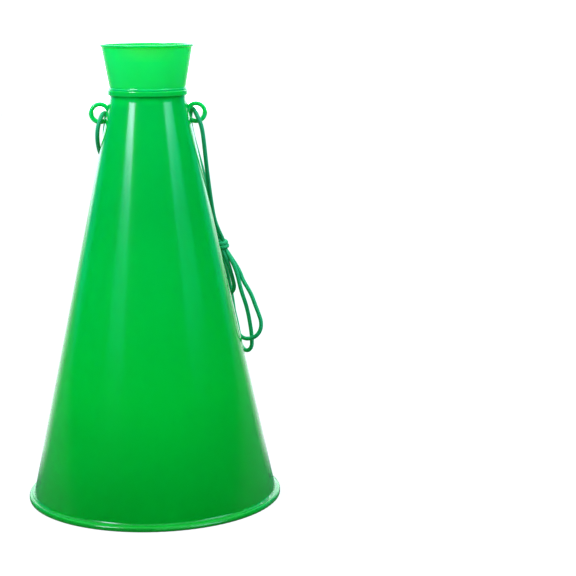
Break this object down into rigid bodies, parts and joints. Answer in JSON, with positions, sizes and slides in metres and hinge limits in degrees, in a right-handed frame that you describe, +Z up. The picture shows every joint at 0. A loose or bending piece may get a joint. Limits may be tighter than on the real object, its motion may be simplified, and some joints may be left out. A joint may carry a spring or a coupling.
{
  "type": "cheer megaphone",
  "caption": "Conical translucent plastic cheer megaphone with a rolled bell lip, push-fit flared mouthpiece, two side eyelets and a braided neck cord gathered in a knotted hank.",
  "frame": {"origin": "centre of the bell's open end, on the flat ring of its lip that the megaphone stands on", "axes": "+Z up the horn's axis from the bell to the mouthpiece, +X to the right eyelet, +Y to the back, where the cord's hank hangs"},
  "size_m": [0.1376, 0.1376, 0.245],
  "materials": {
    "horn_plastic": "translucent green polypropylene, glossy, moulded",
    "mouthpiece_plastic": "translucent lighter green polypropylene, glossy, moulded",
    "cord_braid": "round braided polyester cord, soft sheen"
  },
  "bodies": {
    "horn_body": {"horn": "horn_plastic", "left_eyelet": "horn_plastic", "right_eyelet": "horn_plastic", "cord_right": "cord_braid", "cord_left": "cord_braid", "cord_knot": "cord_braid", "cord_hank": "cord_braid"},
    "mouthpiece_body": {"mouthpiece": "mouthpiece_plastic"}
  },
  "joints": [
    {"name": "mouthpiece_pull", "type": "slide", "parent": "horn_body", "child": "mouthpiece_body", "axis": [0, 0, 1], "range_m": [0, 0.014]}
  ]
}
